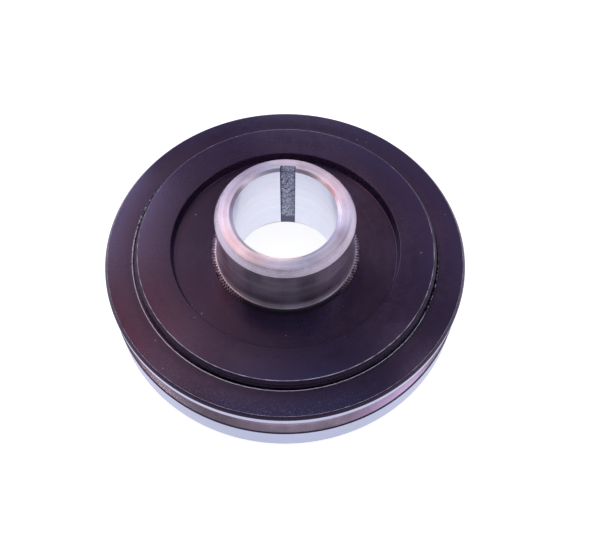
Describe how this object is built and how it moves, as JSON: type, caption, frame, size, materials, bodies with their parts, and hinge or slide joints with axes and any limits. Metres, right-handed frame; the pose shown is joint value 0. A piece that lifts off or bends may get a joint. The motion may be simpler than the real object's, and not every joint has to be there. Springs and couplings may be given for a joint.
{
  "type": "v belt pulley",
  "caption": "Crankshaft V-belt pulley: keyed steel hub sleeve welded into a black hub plate, and a grooved rim carried on a rubber ring.",
  "frame": {"origin": "on the shaft axis, in the plane of the rim's lower face, on which the pulley lies", "axes": "+Z along the shaft axis towards the hub's end face, +Y through the middle of the keyway"},
  "size_m": [0.128, 0.128, 0.0465],
  "materials": {
    "turned_steel": "fine turned and ground steel, bare",
    "weld_metal": "rippled weld bead with brown heat tint",
    "black_paint": "satin black paint over turned metal",
    "rubber": "matt moulded rubber",
    "painted_iron": "satin black paint on the faces, bare turned lands and groove"
  },
  "bodies": {
    "hub": {"hub_sleeve": "turned_steel", "hub_weld": "weld_metal", "hub_plate": "black_paint", "rubber_ring": "rubber"},
    "rim": {"pulley_ring": "painted_iron"}
  },
  "joints": [
    {"name": "rim_twist", "type": "hinge", "parent": "hub", "child": "rim", "pos_m": [0, 0, 0.0121], "axis": [0, 0, 1], "range_deg": [-1.5, 1.5], "stiffness_Nm_per_rad": 8}
  ]
}
